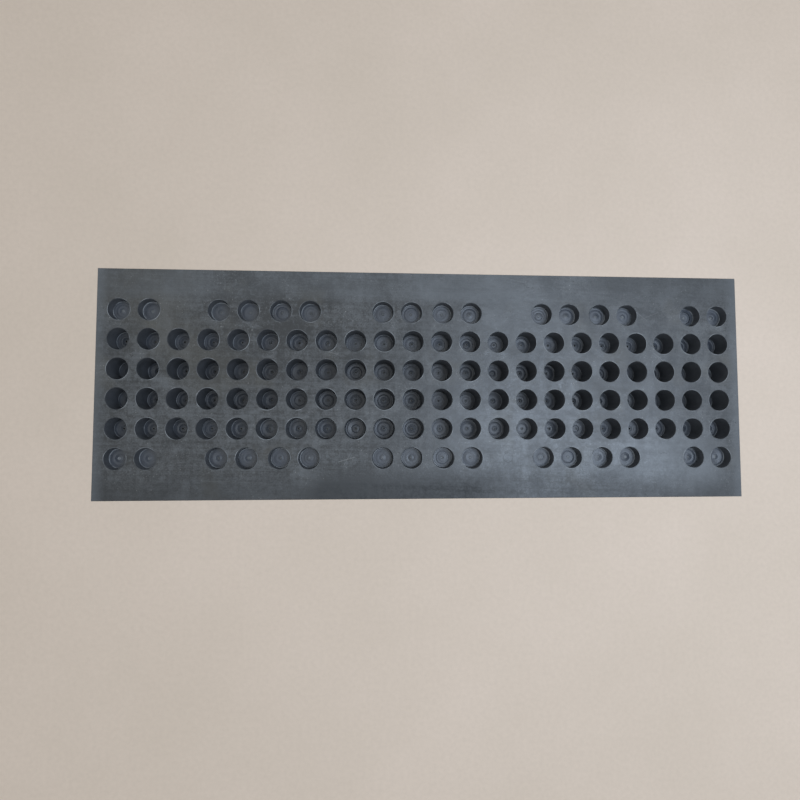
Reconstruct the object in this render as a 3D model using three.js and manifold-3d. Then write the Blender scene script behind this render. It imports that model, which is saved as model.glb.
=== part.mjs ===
// Rubber speed bump, one straight module of a road hump.
//
// A black rubber moulding with an arched crown and a flat underside full of round blind
// pockets. Two of its four blocks carry a yellow rubber skin. Each block has two anchor-bolt
// holes and two retroreflectors, one on either slope.
//
// Frame: millimetres, +X along the bump, +Y across it (the way that traffic crosses), +Z up.
// The origin is the centre of the underside, on the road surface.

import * as THREE from "three";
import { mergeVertices } from "three/addons/utils/BufferGeometryUtils.js";
import Module from "manifold-3d";

// ---------------------------------------------------------------- driving dimensions, in mm

const LENGTH = 1000;
const WIDTH = 350;
const HEIGHT = 50;
const LIP = 8; // height of the upright edge along both long sides
const CLEARANCE = 0.3; // between parts that are bonded or seated face to face
const PAST = 5; // how far a cutter runs past the surface that it cuts
const CROWN_FACETS = 24;
const WELD = 1e-4; // corners closer together than this are one corner

const BLOCKS = 4; // colour blocks along the length, black and yellow in turn
const SKIN = 4; // thickness of the yellow rubber

// Underside pockets: a regular field of deep ones, with a row of shallow ones on either side.
const COLUMNS = 22;
const COLUMN_PITCH = 44.5;
const ROW_PITCH = 45;
const POCKET_DEPTH = { inner: 41, middle: 30, outer: 15.5 };
const POCKET_MOUTH_RADIUS = 16.5;
const POCKET_FLOOR_RADIUS = 15.9; // the draft that lets the moulding leave its pins
const POCKET_SIDES = 16;
// The shallow pockets stand in fours astride each line between two blocks.
const GROUP_OFFSETS = [-69, -24.5, 24.5, 69];

// Anchor-bolt holes, closed at the road side by a skin of rubber that the bolt breaks through.
const BOLT_Y = 2.5 * ROW_PITCH;
const BOLT_SEAT_Z = 16;
const BOLT_HEAD_RADIUS = 16;
const BOLT_SHANK_RADIUS = 7;
const BOLT_MEMBRANE = 1.2;
const BOLT_SIDES = 16;

// Reflectors. v runs down the slope from the reflector's centre, w stands out from the slope.
const REFLECTOR_Y = 150;
const REFLECTOR_LENGTH = 61.4;
const REFLECTOR_DEPTH_V = 26.4;
const REFLECTOR_SUNK = 5;
const REFLECTOR_PROUD = 5.5;
const REFLECTOR_SHOULDER = 1; // upright rim above the rubber before the faces slant
const REFLECTOR_FRONT_RUN = 8.5; // how far back the slanting front runs along v
const REFLECTOR_BACK_RUN = 5; // how far forward the slanting back runs along v
const LENS_LENGTH = 53;
const LENS_FACE = 7;
const LENS_THICKNESS = 2;

// ---------------------------------------------------------------- derived sizes

const HALF_LENGTH = LENGTH / 2;
const HALF_WIDTH = WIDTH / 2;
const BLOCK = LENGTH / BLOCKS;
const RISE = HEIGHT - LIP;
const CROWN_RADIUS = (HALF_WIDTH ** 2 + RISE ** 2) / (2 * RISE);
const CROWN_CENTRE_Z = HEIGHT - CROWN_RADIUS;
const SLOPE = Math.asin(REFLECTOR_Y / CROWN_RADIUS); // of the crown under a reflector

const crownHeight = (y) => CROWN_CENTRE_Z + Math.sqrt(CROWN_RADIUS ** 2 - y ** 2);
const blockStart = (i) => -HALF_LENGTH + i * BLOCK;
const blockCentre = (i) => blockStart(i) + BLOCK / 2;
const isYellow = (i) => i % 2 === 1;
const blockNumbers = [...Array(BLOCKS).keys()];
const SIDES = [-1, 1]; // the -Y slope and the +Y slope

// ---------------------------------------------------------------- materials

const material = (color, roughness) =>
  new THREE.MeshStandardMaterial({ color, roughness, metalness: 0 });
const BLACK_RUBBER = material(0x33373b, 0.6);
const YELLOW_RUBBER = material(0xf3b51e, 0.55);
const HOUSING_PLASTIC = material(0xc9cbc6, 0.45);
const LENS_PLASTIC = material(0xf28a12, 0.15);

// ---------------------------------------------------------------- solids

const wasm = await Module();
wasm.setup();

// A closed three.js geometry as a solid that can be joined and cut.
function solidFrom(geometry) {
  const bare = geometry.clone();
  bare.deleteAttribute("normal");
  bare.deleteAttribute("uv");
  const merged = mergeVertices(bare, WELD);
  return new wasm.Manifold(
    new wasm.Mesh({
      numProp: 3,
      vertProperties: merged.attributes.position.array,
      triVerts: new Uint32Array(merged.index.array),
    }),
  );
}

// The solid's triangles as a flat-shaded three.js geometry.
function geometryFrom(solid) {
  const mesh = solid.getMesh();
  const indexed = new THREE.BufferGeometry();
  indexed.setAttribute("position", new THREE.BufferAttribute(mesh.vertProperties, 3));
  indexed.setIndex(new THREE.BufferAttribute(mesh.triVerts, 1));
  const flat = indexed.toNonIndexed();
  flat.computeVertexNormals();
  return flat;
}

function namedMesh(name, solid, look) {
  const mesh = new THREE.Mesh(geometryFrom(solid), look);
  mesh.name = name;
  return mesh;
}

const cutAll = (solid, cutters) => cutters.reduce((left, cutter) => left.subtract(cutter), solid);

// Extrudes a shape drawn across the bump, in (y, z), from x0 to x1.
function alongBump(shape, x0, x1) {
  const geometry = new THREE.ExtrudeGeometry(shape, {
    depth: x1 - x0,
    bevelEnabled: false,
    curveSegments: CROWN_FACETS,
  });
  const across = new THREE.Vector3(0, 1, 0);
  const up = new THREE.Vector3(0, 0, 1);
  const along = new THREE.Vector3(1, 0, 0);
  geometry.applyMatrix4(new THREE.Matrix4().makeBasis(across, up, along));
  return geometry.translate(x0, 0, 0);
}

// An upright cylinder or cone from z0 to z1.
function upright(x, y, z0, z1, radius0, radius1, sides) {
  const geometry = new THREE.CylinderGeometry(radius1, radius0, z1 - z0, sides);
  geometry.rotateX(Math.PI / 2);
  return geometry.translate(x, y, (z0 + z1) / 2);
}

// Half the angle that an arc about the crown's centre covers out to the given y.
const halfAngle = (radius, y) => Math.asin(y / radius);

// ---------------------------------------------------------------- shapes across the bump

function moduleShape() {
  const shape = new THREE.Shape();
  const angle = halfAngle(CROWN_RADIUS, HALF_WIDTH);
  shape.moveTo(-HALF_WIDTH, 0);
  shape.lineTo(HALF_WIDTH, 0);
  shape.absarc(0, CROWN_CENTRE_Z, CROWN_RADIUS, Math.PI / 2 - angle, Math.PI / 2 + angle, false);
  return shape;
}

// The band between two arcs about the crown's centre, out to y on both sides.
function bandShape(innerRadius, outerRadius, y) {
  const shape = new THREE.Shape();
  const outer = halfAngle(outerRadius, y);
  const inner = halfAngle(innerRadius, y);
  shape.absarc(0, CROWN_CENTRE_Z, outerRadius, Math.PI / 2 - outer, Math.PI / 2 + outer, false);
  shape.absarc(0, CROWN_CENTRE_Z, innerRadius, Math.PI / 2 + inner, Math.PI / 2 - inner, true);
  return shape;
}

// ---------------------------------------------------------------- pockets, bolt holes, recesses

function pocketPlaces() {
  const places = [];
  const columns = [...Array(COLUMNS).keys()].map((i) => (i - (COLUMNS - 1) / 2) * COLUMN_PITCH);
  const groups = blockNumbers.slice(1).flatMap((i) => GROUP_OFFSETS.map((x) => blockStart(i) + x));
  const shallow = [...columns.slice(0, 2), ...groups, ...columns.slice(-2)];
  for (const side of SIDES) {
    columns.forEach((x) => places.push({ x, y: side * 0.5 * ROW_PITCH, depth: POCKET_DEPTH.inner }));
    columns.forEach((x) => places.push({ x, y: side * 1.5 * ROW_PITCH, depth: POCKET_DEPTH.middle }));
    shallow.forEach((x) => places.push({ x, y: side * 2.5 * ROW_PITCH, depth: POCKET_DEPTH.outer }));
  }
  return places;
}

// The cutter runs PAST below the road face, and its cone is carried on down to there.
function pocketCutter({ x, y, depth }) {
  const draft = (POCKET_MOUTH_RADIUS - POCKET_FLOOR_RADIUS) / depth;
  const start = POCKET_MOUTH_RADIUS + draft * PAST;
  return solidFrom(upright(x, y, -PAST, depth, start, POCKET_FLOOR_RADIUS, POCKET_SIDES));
}

function boltHoleCutter(x, y) {
  const top = HEIGHT + PAST;
  const head = upright(x, y, BOLT_SEAT_Z, top, BOLT_HEAD_RADIUS, BOLT_HEAD_RADIUS, BOLT_SIDES);
  const shank = upright(x, y, BOLT_MEMBRANE, top, BOLT_SHANK_RADIUS, BOLT_SHANK_RADIUS, BOLT_SIDES);
  return solidFrom(head).add(solidFrom(shank));
}

// The group that holds a reflector: z out of the slope, y down it.
function reflectorSeat(x, side) {
  const seat = new THREE.Group();
  seat.position.set(x, side * REFLECTOR_Y, crownHeight(REFLECTOR_Y));
  seat.rotation.set(-SLOPE, 0, side > 0 ? 0 : Math.PI, "ZXY");
  seat.updateMatrixWorld();
  return seat;
}

function reflectorRecessCutter(x, side) {
  const tall = REFLECTOR_SUNK + REFLECTOR_PROUD + PAST;
  const box = new THREE.BoxGeometry(
    REFLECTOR_LENGTH + 2 * CLEARANCE,
    REFLECTOR_DEPTH_V + 2 * CLEARANCE,
    tall,
  );
  box.translate(0, 0, tall / 2 - REFLECTOR_SUNK - CLEARANCE);
  return solidFrom(box.applyMatrix4(reflectorSeat(x, side).matrixWorld));
}

const blockCutters = (i) =>
  SIDES.flatMap((side) => [
    boltHoleCutter(blockCentre(i), side * BOLT_Y),
    reflectorRecessCutter(blockCentre(i), side),
  ]);

// ---------------------------------------------------------------- rubber parts

function rubberBody() {
  const blank = solidFrom(alongBump(moduleShape(), -HALF_LENGTH, HALF_LENGTH));
  const seatRadius = CROWN_RADIUS - SKIN - CLEARANCE;
  const skinSeats = blockNumbers.filter(isYellow).map((i) => {
    const band = bandShape(seatRadius, CROWN_RADIUS + PAST, HALF_WIDTH + PAST);
    const end = blockStart(i + 1) + (i === BLOCKS - 1 ? PAST : 0);
    return solidFrom(alongBump(band, blockStart(i), end));
  });
  const pockets = pocketPlaces().map(pocketCutter);
  return cutAll(blank, [...skinSeats, ...blockNumbers.flatMap(blockCutters), ...pockets]);
}

function yellowSkin(i) {
  const band = bandShape(CROWN_RADIUS - SKIN, CROWN_RADIUS, HALF_WIDTH);
  const end = blockStart(i + 1) - (i === BLOCKS - 1 ? 0 : CLEARANCE);
  const blank = solidFrom(alongBump(band, blockStart(i) + CLEARANCE, end));
  return cutAll(blank, blockCutters(i));
}

// ---------------------------------------------------------------- reflectors

// The slanting front face that holds the lens, from its foot to its crest, in (v, w).
const FACE_FOOT = new THREE.Vector2(REFLECTOR_DEPTH_V / 2, REFLECTOR_SHOULDER);
const FACE_CREST = new THREE.Vector2(REFLECTOR_DEPTH_V / 2 - REFLECTOR_FRONT_RUN, REFLECTOR_PROUD);
const FACE_MIDDLE = FACE_FOOT.clone().add(FACE_CREST).multiplyScalar(0.5);
const FACE_TILT = Math.atan2(FACE_CREST.y - FACE_FOOT.y, FACE_FOOT.x - FACE_CREST.x);

// A plate in the slanting face: its back lies `back` behind the face.
function facePlate(length, face, thickness, back) {
  const plate = new THREE.BoxGeometry(length, face, thickness);
  plate.translate(0, 0, thickness / 2 - back);
  plate.rotateX(-FACE_TILT);
  return plate.translate(0, FACE_MIDDLE.x, FACE_MIDDLE.y);
}

function reflectorHousing() {
  const half = REFLECTOR_DEPTH_V / 2;
  const shape = new THREE.Shape();
  shape.moveTo(-half, -REFLECTOR_SUNK);
  shape.lineTo(half, -REFLECTOR_SUNK);
  shape.lineTo(FACE_FOOT.x, FACE_FOOT.y);
  shape.lineTo(FACE_CREST.x, FACE_CREST.y);
  shape.lineTo(-half + REFLECTOR_BACK_RUN, REFLECTOR_PROUD);
  shape.lineTo(-half, REFLECTOR_SHOULDER);
  const block = solidFrom(alongBump(shape, -REFLECTOR_LENGTH / 2, REFLECTOR_LENGTH / 2));
  const window = facePlate(
    LENS_LENGTH + 2 * CLEARANCE,
    LENS_FACE + 2 * CLEARANCE,
    LENS_THICKNESS + PAST,
    LENS_THICKNESS,
  );
  return block.subtract(solidFrom(window));
}

const reflectorLens = () =>
  solidFrom(facePlate(LENS_LENGTH, LENS_FACE, LENS_THICKNESS, LENS_THICKNESS - CLEARANCE));

// ---------------------------------------------------------------- assembly

const bump = new THREE.Group();
bump.add(namedMesh("rubber_body", rubberBody(), BLACK_RUBBER));
blockNumbers.filter(isYellow).forEach((i, n) => {
  bump.add(namedMesh(`yellow_skin_${n + 1}`, yellowSkin(i), YELLOW_RUBBER));
});

const housing = reflectorHousing();
const lens = reflectorLens();
for (const i of blockNumbers) {
  for (const side of SIDES) {
    const label = `${i + 1}_${side > 0 ? "far" : "near"}`;
    const seat = reflectorSeat(blockCentre(i), side);
    seat.add(namedMesh(`reflector_housing_${label}`, housing, HOUSING_PLASTIC));
    seat.add(namedMesh(`reflector_lens_${label}`, lens, LENS_PLASTIC));
    bump.add(seat);
  }
}

export default bump;
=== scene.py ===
"""Looks of the rubber speed bump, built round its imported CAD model.

The bump lies on the road face, crown up. The main camera looks up at the underside through the
cut-out that the floor has under the bump; every other view sees the crown on a whole floor.
Shapes are worked out in millimetres and written to meshes in metres.
"""

import math
import random

import bmesh
import bpy
from mathutils import Matrix, Vector
from mathutils.geometry import delaunay_2d_cdt


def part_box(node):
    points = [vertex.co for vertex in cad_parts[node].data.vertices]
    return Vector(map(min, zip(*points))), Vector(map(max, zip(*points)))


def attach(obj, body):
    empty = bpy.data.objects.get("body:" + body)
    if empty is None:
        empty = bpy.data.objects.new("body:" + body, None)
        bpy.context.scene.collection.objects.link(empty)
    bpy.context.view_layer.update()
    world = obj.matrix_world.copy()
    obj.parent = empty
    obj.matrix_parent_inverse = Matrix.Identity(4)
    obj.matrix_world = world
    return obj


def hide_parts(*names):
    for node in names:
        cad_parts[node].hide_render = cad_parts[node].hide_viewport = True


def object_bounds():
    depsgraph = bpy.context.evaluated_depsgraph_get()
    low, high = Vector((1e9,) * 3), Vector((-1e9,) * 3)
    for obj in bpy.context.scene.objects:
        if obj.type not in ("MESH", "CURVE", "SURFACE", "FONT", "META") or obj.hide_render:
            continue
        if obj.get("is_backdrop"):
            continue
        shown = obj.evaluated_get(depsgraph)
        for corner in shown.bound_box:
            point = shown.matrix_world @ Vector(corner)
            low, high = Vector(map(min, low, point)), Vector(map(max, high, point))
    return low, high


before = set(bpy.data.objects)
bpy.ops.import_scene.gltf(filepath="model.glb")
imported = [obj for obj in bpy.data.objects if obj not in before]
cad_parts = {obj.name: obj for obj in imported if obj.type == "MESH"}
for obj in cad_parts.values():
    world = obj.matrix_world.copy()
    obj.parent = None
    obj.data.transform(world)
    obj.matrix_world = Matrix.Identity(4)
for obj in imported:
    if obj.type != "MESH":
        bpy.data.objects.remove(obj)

CAD_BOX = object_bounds()
MM = 0.001

# ------------------------------------------------------------------ sizes, in millimetres

_, BODY_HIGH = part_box("rubber_body")
HALF_LENGTH = BODY_HIGH.x / MM
HALF_WIDTH = BODY_HIGH.y / MM
HEIGHT = BODY_HIGH.z / MM
LIP = 8
BLOCKS = 4
BLOCK = 2 * HALF_LENGTH / BLOCKS
SKIN = 4
GAP = 0.3
RISE = HEIGHT - LIP
ARCH_RADIUS = (HALF_WIDTH ** 2 + RISE ** 2) / (2 * RISE)
ARCH_CENTRE_Z = HEIGHT - ARCH_RADIUS
FOOT_CHAMFER = 0.8  # round the edge of the road face

# Underside
COLUMNS = 22
COLUMN_PITCH = 44.5
ROW_PITCH = 45
GROUP_OFFSETS = (-69, -24.5, 24.5, 69)
DEEP, MIDDLE, SHALLOW = 41, 30, 15.5
RIM_FOOT = 17.3  # where the raised rim of a pocket meets the flat face
MOUTH = 16.4
FLOOR = 15.7

# Bolt holes and reflectors, the same in every block
BOLT_Y = 2.5 * ROW_PITCH
BOLT_SEAT_Z = 16
BOLT_HEAD = 16
BOLT_SHANK = 7
BOLT_MEMBRANE = 1.2
BOLT_RIM = 17  # outer radius of the worn rim of the counterbore
REFLECTOR_Y = 150
REFLECTOR_HALF_X = 31
REFLECTOR_HALF_V = 13.5
REFLECTOR_SUNK = 5.3
SLOPE = math.asin(REFLECTOR_Y / ARCH_RADIUS)

# Tread: a lattice of slanting grooves round lozenges that rise to a point, with a plain band
# along the crown
TREAD_PITCH = 38
TREAD_ROWS = 7  # rows of slanting grooves on either side of the middle row, past the block's corners
LOZENGE_X = BLOCK / 6  # half a lozenge along the bump
LOZENGE_Y = TREAD_PITCH / 2
GROOVE_HALF_TOP = 1.5
GROOVE_HALF_BOTTOM = 0.5
GROOVE_DEPTH = 1.3
FACET_FALL = 1.9
CROWN_BAND = 23  # half the plain band's width
TREAD_EDGE = 163  # the tread ends here on both slopes
RAMP = 1.2  # run of the slope that ends a groove
PAD = 5  # plain rubber round a hole
EDGE_ROUND = 2
SEAM = 0.9
SEAM_FALL = 0.7


def arch_height(y, depth=0.0):
    """Height of the crown over y, or of the arch that lies depth inside it."""
    return ARCH_CENTRE_Z + math.sqrt((ARCH_RADIUS - depth) ** 2 - y ** 2)


def is_yellow(block):
    return block % 2 == 1


def block_centre(block):
    return -HALF_LENGTH + (block + 0.5) * BLOCK


# ------------------------------------------------------------------ plan of one block

HOLE_SIDES = 48
SIDES = (-1, 1)
SAME_POINT = 2e-3  # points of a plan this close together are one
NEAR = 0.02  # a vertex this close to a line counts as on it


def circle(cx, cy, radius, sides=HOLE_SIDES):
    turns = (2 * math.pi * k / sides for k in range(sides))
    return [(cx + radius * math.cos(t), cy + radius * math.sin(t)) for t in turns]


def reflector_limits(side, margin=0.0, depth=0.0):
    """Lowest and highest y of a reflector's recess where it meets the arch at that depth."""
    radius = ARCH_RADIUS - depth
    swing = math.asin((REFLECTOR_HALF_V + margin) / radius)
    ends = (radius * math.sin(SLOPE - swing), radius * math.sin(SLOPE + swing))
    return sorted(side * y for y in ends)


def rectangle(half_x, low_y, high_y, steps_x=8, steps_y=6):
    """Points round an upright rectangle about x = 0, anticlockwise from its low corner."""
    xs = [-half_x + 2 * half_x * k / steps_x for k in range(steps_x)]
    ys = [low_y + (high_y - low_y) * k / steps_y for k in range(steps_y)]
    bottom = [(x, low_y) for x in xs]
    right = [(half_x, y) for y in ys]
    top = [(-x, high_y) for x in xs]
    left = [(-half_x, low_y + high_y - y) for y in ys]
    return bottom + right + top + left


def recess_loop(side, margin=0.0, depth=0.0):
    return rectangle(REFLECTOR_HALF_X + margin, *reflector_limits(side, margin, depth))


def inside_circle_span(p, q, cy, radius):
    """The stretch of the line p to q, as two fractions, inside a circle about (0, cy)."""
    dx, dy = q[0] - p[0], q[1] - p[1]
    fx, fy = p[0], p[1] - cy
    a = dx * dx + dy * dy
    b = 2 * (fx * dx + fy * dy)
    inside = b * b - 4 * a * (fx * fx + fy * fy - radius * radius)
    if inside <= 0:
        return None
    root = math.sqrt(inside)
    return (-b - root) / (2 * a), (-b + root) / (2 * a)


def inside_rectangle_span(p, q, half_x, low_y, high_y):
    start, end = 0.0, 1.0
    for at, step, low, high in (
        (p[0], q[0] - p[0], -half_x, half_x),
        (p[1], q[1] - p[1], low_y, high_y),
    ):
        if abs(step) < 1e-9:
            if not low < at < high:
                return None
            continue
        near, far = sorted(((low - at) / step, (high - at) / step))
        start, end = max(start, near), min(end, far)
    return (start, end) if start < end else None


def outside_pads(p, q):
    """The pieces of the line p to q that lie outside the plain pads round the holes."""
    spans = []
    for side in SIDES:
        spans.append(inside_circle_span(p, q, side * BOLT_Y, BOLT_HEAD + PAD + RAMP))
        margin = PAD + RAMP - 1
        limits = reflector_limits(side, margin)
        spans.append(inside_rectangle_span(p, q, REFLECTOR_HALF_X + margin, *limits))
    at = 0.0
    for start, end in sorted(s for s in spans if s):
        if min(start, 1.0) > at:
            yield at, min(start, 1.0)
        at = max(at, end)
    if at < 1.0:
        yield at, 1.0


BAND_STEPS = (-GROOVE_HALF_TOP, -GROOVE_HALF_BOTTOM, GROOVE_HALF_BOTTOM, GROOVE_HALF_TOP)


def block_lines(tread):
    """Straight lines of the plan: steps of the arch, and the tread's edges and ridges."""
    half = BLOCK / 2
    step = LOZENGE_Y / 4
    steps = int(HALF_WIDTH / step)
    ys = [k * step for k in range(-steps, steps + 1)]
    ys += [s * y for s in SIDES for y in (TREAD_EDGE, TREAD_EDGE + RAMP)]
    ys += [s * (CROWN_BAND + step) for s in SIDES for step in BAND_STEPS]
    ys += [s * (HALF_WIDTH - EDGE_ROUND * k / 4) for s in SIDES for k in range(1, 5)]
    lines = [((-half, y), (half, y)) for y in ys if abs(y) < HALF_WIDTH - 0.1]
    if not tread:
        return lines
    inner = CROWN_BAND + GROOVE_HALF_TOP
    for s in SIDES:
        ridges = [k * LOZENGE_X for k in range(-2, 3)]
        lines += [((x, s * inner), (x, s * TREAD_EDGE)) for x in ridges]
        lines.append(((s * (half - SEAM), -HALF_WIDTH), (s * (half - SEAM), HALF_WIDTH)))
    slant = LOZENGE_Y / LOZENGE_X
    stretch = math.hypot(1, slant)
    counts = range(-TREAD_ROWS, TREAD_ROWS + 1)
    rows = [k * TREAD_PITCH + offset * stretch for k in counts for offset in BAND_STEPS]
    for middle in rows:
        for lean in SIDES:
            p, q = (-half, middle - lean * slant * half), (half, middle + lean * slant * half)
            for low, high in ((-TREAD_EDGE, -inner), (inner, TREAD_EDGE)):
                lines += part_between(p, q, low, high)
    return lines


def stretch_of(p, q, start, end):
    """The piece of the line p to q that lies between two fractions of it."""
    return tuple((p[0] + (q[0] - p[0]) * t, p[1] + (q[1] - p[1]) * t) for t in (start, end))


def part_between(p, q, low, high):
    """The part of the slanting line p to q whose y lies between low and high, in a list."""
    ts = sorted(((low - p[1]) / (q[1] - p[1]), (high - p[1]) / (q[1] - p[1])))
    start, end = max(0.0, ts[0]), min(1.0, ts[1])
    return [stretch_of(p, q, start, end)] if start < end else []


def triangulate(loops, lines, keep):
    """Delaunay triangles between closed loops and lines, which are split where they cross."""
    points, edges = [], []
    for loop in loops:
        first = len(points)
        points += loop
        edges += [(first + k, first + (k + 1) % len(loop)) for k in range(len(loop))]
    for p, q in lines:
        edges.append((len(points), len(points) + 1))
        points += [p, q]
    plan = delaunay_2d_cdt([Vector(p) for p in points], edges, [], 0, SAME_POINT)
    places = [tuple(v) for v in plan[0]]
    triangles = []
    for face in plan[2]:
        cx = sum(places[k][0] for k in face) / 3
        cy = sum(places[k][1] for k in face) / 3
        if keep(cx, cy):
            triangles.append(tuple(face))
    used = sorted({k for t in triangles for k in t})
    number = {k: n for n, k in enumerate(used)}
    return [places[k] for k in used], [tuple(number[k] for k in t) for t in triangles]


def in_recess(x, y, side, depth):
    low, high = reflector_limits(side, 0.0, depth)
    return abs(x) < REFLECTOR_HALF_X and low < y < high


def block_plan(tread, depth):
    """Plan of one block about its own centre, with the bolt holes and recesses left open."""
    half = BLOCK / 2
    loops = [[(-half, -HALF_WIDTH), (half, -HALF_WIDTH), (half, HALF_WIDTH), (-half, HALF_WIDTH)]]
    for side in SIDES:
        loops.append(circle(0, side * BOLT_Y, BOLT_HEAD))
        loops.append(recess_loop(side, 0.0, depth))
        if tread:
            rings = (BOLT_RIM, BOLT_HEAD + PAD, BOLT_HEAD + PAD + RAMP)
            loops += [circle(0, side * BOLT_Y, radius) for radius in rings]
            loops += [recess_loop(side, margin) for margin in (PAD - 1, PAD + RAMP - 1)]
    lines = []
    for p, q in block_lines(tread):
        lines += [stretch_of(p, q, start, end) for start, end in outside_pads(p, q)]

    def keep(x, y):
        in_hole = any(math.hypot(x, y - s * BOLT_Y) < BOLT_HEAD for s in SIDES)
        return not in_hole and not any(in_recess(x, y, s, depth) for s in SIDES)

    return triangulate(loops, lines, keep)


def groove_share(away):
    """1 on the floor of a groove that far from its middle, 0 outside it."""
    ramp = (GROOVE_HALF_TOP - abs(away)) / (GROOVE_HALF_TOP - GROOVE_HALF_BOTTOM)
    return min(1.0, max(0.0, ramp))


def tread_depth(x, y):
    """How far the crown lies below its arch at a point of the block's plan."""
    half = BLOCK / 2
    across = abs(y)
    edge = max(0.0, across - (HALF_WIDTH - EDGE_ROUND))
    rounding = EDGE_ROUND - math.sqrt(max(0.0, EDGE_ROUND ** 2 - edge ** 2))
    seam = max(0.0, abs(x) - (half - SEAM)) / SEAM * SEAM_FALL
    fade = (TREAD_EDGE + RAMP - across) / RAMP
    for side in SIDES:
        fade = min(fade, (math.hypot(x, y - side * BOLT_Y) - BOLT_HEAD - PAD) / RAMP)
        low, high = reflector_limits(side, PAD - 1)
        beyond = max(abs(x) - REFLECTOR_HALF_X - PAD + 1, low - y, y - high)
        fade = min(fade, beyond / RAMP)
        rim = BOLT_RIM - math.hypot(x, y - side * BOLT_Y)
        if rim > 1e-3:
            return 0.8 * min(rim, 1.0)
    fade = min(1.0, max(0.0, fade))
    groove, fall = groove_share(across - CROWN_BAND), 1.0
    if across > CROWN_BAND:
        # A groove runs where x / LOZENGE_X plus or minus y / LOZENGE_Y is an even number.
        unit = math.hypot(1 / LOZENGE_X, 1 / LOZENGE_Y)
        for lean in SIDES:
            phase = x / LOZENGE_X + lean * y / LOZENGE_Y
            off = abs(phase - 2 * round(phase / 2))
            groove = max(groove, groove_share(off / unit))
            fall = min(fall, off)
    return rounding + seam + fade * (GROOVE_DEPTH * groove + FACET_FALL * (1 - fall))


# ------------------------------------------------------------------ mesh building

def new_vert(bm, x, y, z):
    return bm.verts.new((x * MM, y * MM, z * MM))


def lay(bm, plan, centre_x, height, slot, up=True, squeeze=1.0):
    """Adds a plan's triangles at height(x, y) and returns their vertices."""
    places, triangles = plan
    verts = [new_vert(bm, centre_x + x * squeeze, y, height(x, y)) for x, y in places]
    for t in triangles:
        corners = [verts[k] for k in t]
        (ax, ay), (bx, by), (cx, cy) = (places[k] for k in t)
        anticlockwise = (bx - ax) * (cy - ay) - (by - ay) * (cx - ax) > 0
        if anticlockwise != up:
            corners.reverse()
        bm.faces.new(corners).material_index = slot
    return verts


def near(a, b):
    return abs(a - b) < NEAR


def in_turn(verts, places, test, centre):
    """The vertices whose place passes the test, in order round a centre."""
    cx, cy = centre
    chosen = [(math.atan2(y - cy, x - cx), v) for v, (x, y) in zip(verts, places) if test(x, y)]
    return [v for _, v in sorted(chosen, key=lambda item: item[0])]


def bolt_loop(verts, plan, side):
    test = lambda x, y: near(math.hypot(x, y - side * BOLT_Y), BOLT_HEAD)
    return in_turn(verts, plan[0], test, (0, side * BOLT_Y))


def recess_edge(verts, plan, side, depth):
    low, high = reflector_limits(side, 0.0, depth)

    def test(x, y):
        within = abs(x) < REFLECTOR_HALF_X + NEAR and low - NEAR < y < high + NEAR
        return within and (near(abs(x), REFLECTOR_HALF_X) or near(y, low) or near(y, high))

    return in_turn(verts, plan[0], test, (0, (low + high) / 2))


def chain(verts, plan, axis, value):
    """The vertices on one straight side of the plan, in rising order along it."""
    along = 1 - axis
    chosen = [(p[along], v) for v, p in zip(verts, plan[0]) if near(p[axis], value)]
    return [v for _, v in sorted(chosen, key=lambda item: item[0])]


def band(bm, upper, lower, slot):
    """Quads between two closed rings with the same number of vertices."""
    for k in range(len(upper)):
        n = (k + 1) % len(upper)
        bm.faces.new((upper[k], lower[k], lower[n], upper[n])).material_index = slot


def sink(bm, loop, centre, profile, slots, cap, turned=None):
    """Rings of a turned hollow from a loop inwards, and a last one closed at its centre.

    Each new vertex keeps its radius and the hollow's own number in the layer that turned names.
    """
    cx, cy = centre
    layer, number = turned or (None, 0)
    spokes = []
    for v in loop:
        dx, dy = v.co.x / MM - cx, v.co.y / MM - cy
        length = math.hypot(dx, dy)
        spokes.append((dx / length, dy / length))
    ring = loop
    for (radius, z), slot in zip(profile, slots):
        lower = []
        for k, (ux, uy) in enumerate(spokes):
            lift = z(k / len(spokes)) if callable(z) else z
            lower.append(new_vert(bm, cx + ux * radius, cy + uy * radius, lift))
            if layer:
                lower[-1][layer] = (radius, number, 0)
        band(bm, ring, lower, slot)
        ring = lower
    middle = new_vert(bm, cx, cy, cap)
    if layer:
        middle[layer] = (0, number, 0)
    for k in range(len(ring)):
        bm.faces.new((ring[k], middle, ring[(k + 1) % len(ring)])).material_index = slots[-1]


def finish_mesh(bm, name, materials, crease=32, flat_slot=None):
    """A linked object, shaded smooth but for creases and for the faces in flat_slot."""
    bmesh.ops.recalc_face_normals(bm, faces=bm.faces)
    mesh = bpy.data.meshes.new(name)
    bm.to_mesh(mesh)
    bm.free()
    for material in materials:
        mesh.materials.append(material)
    mesh.set_sharp_from_angle(angle=math.radians(crease))
    mesh.polygons.foreach_set("use_smooth", [p.material_index != flat_slot for p in mesh.polygons])
    piece = bpy.data.objects.new(name, mesh)
    bpy.context.scene.collection.objects.link(piece)
    return piece


# ------------------------------------------------------------------ underside

FACE, RIM, FLASH, WALL, POCKET, NUB, VENT, CROWN, CUT = range(9)  # material slots of the body


def pocket_places():
    """Middle and depth of each pocket: four whole rows, and outer rows grouped round the joints."""
    columns = [(k - (COLUMNS - 1) / 2) * COLUMN_PITCH for k in range(COLUMNS)]
    joints = [-HALF_LENGTH + k * BLOCK for k in range(1, BLOCKS)]
    shallow = columns[:2] + [j + offset for j in joints for offset in GROUP_OFFSETS] + columns[-2:]
    places = []
    for side in SIDES:
        places += [(x, side * 0.5 * ROW_PITCH, DEEP) for x in columns]
        places += [(x, side * 1.5 * ROW_PITCH, MIDDLE) for x in columns]
        places += [(x, side * 2.5 * ROW_PITCH, SHALLOW) for x in shallow]
    return places


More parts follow.
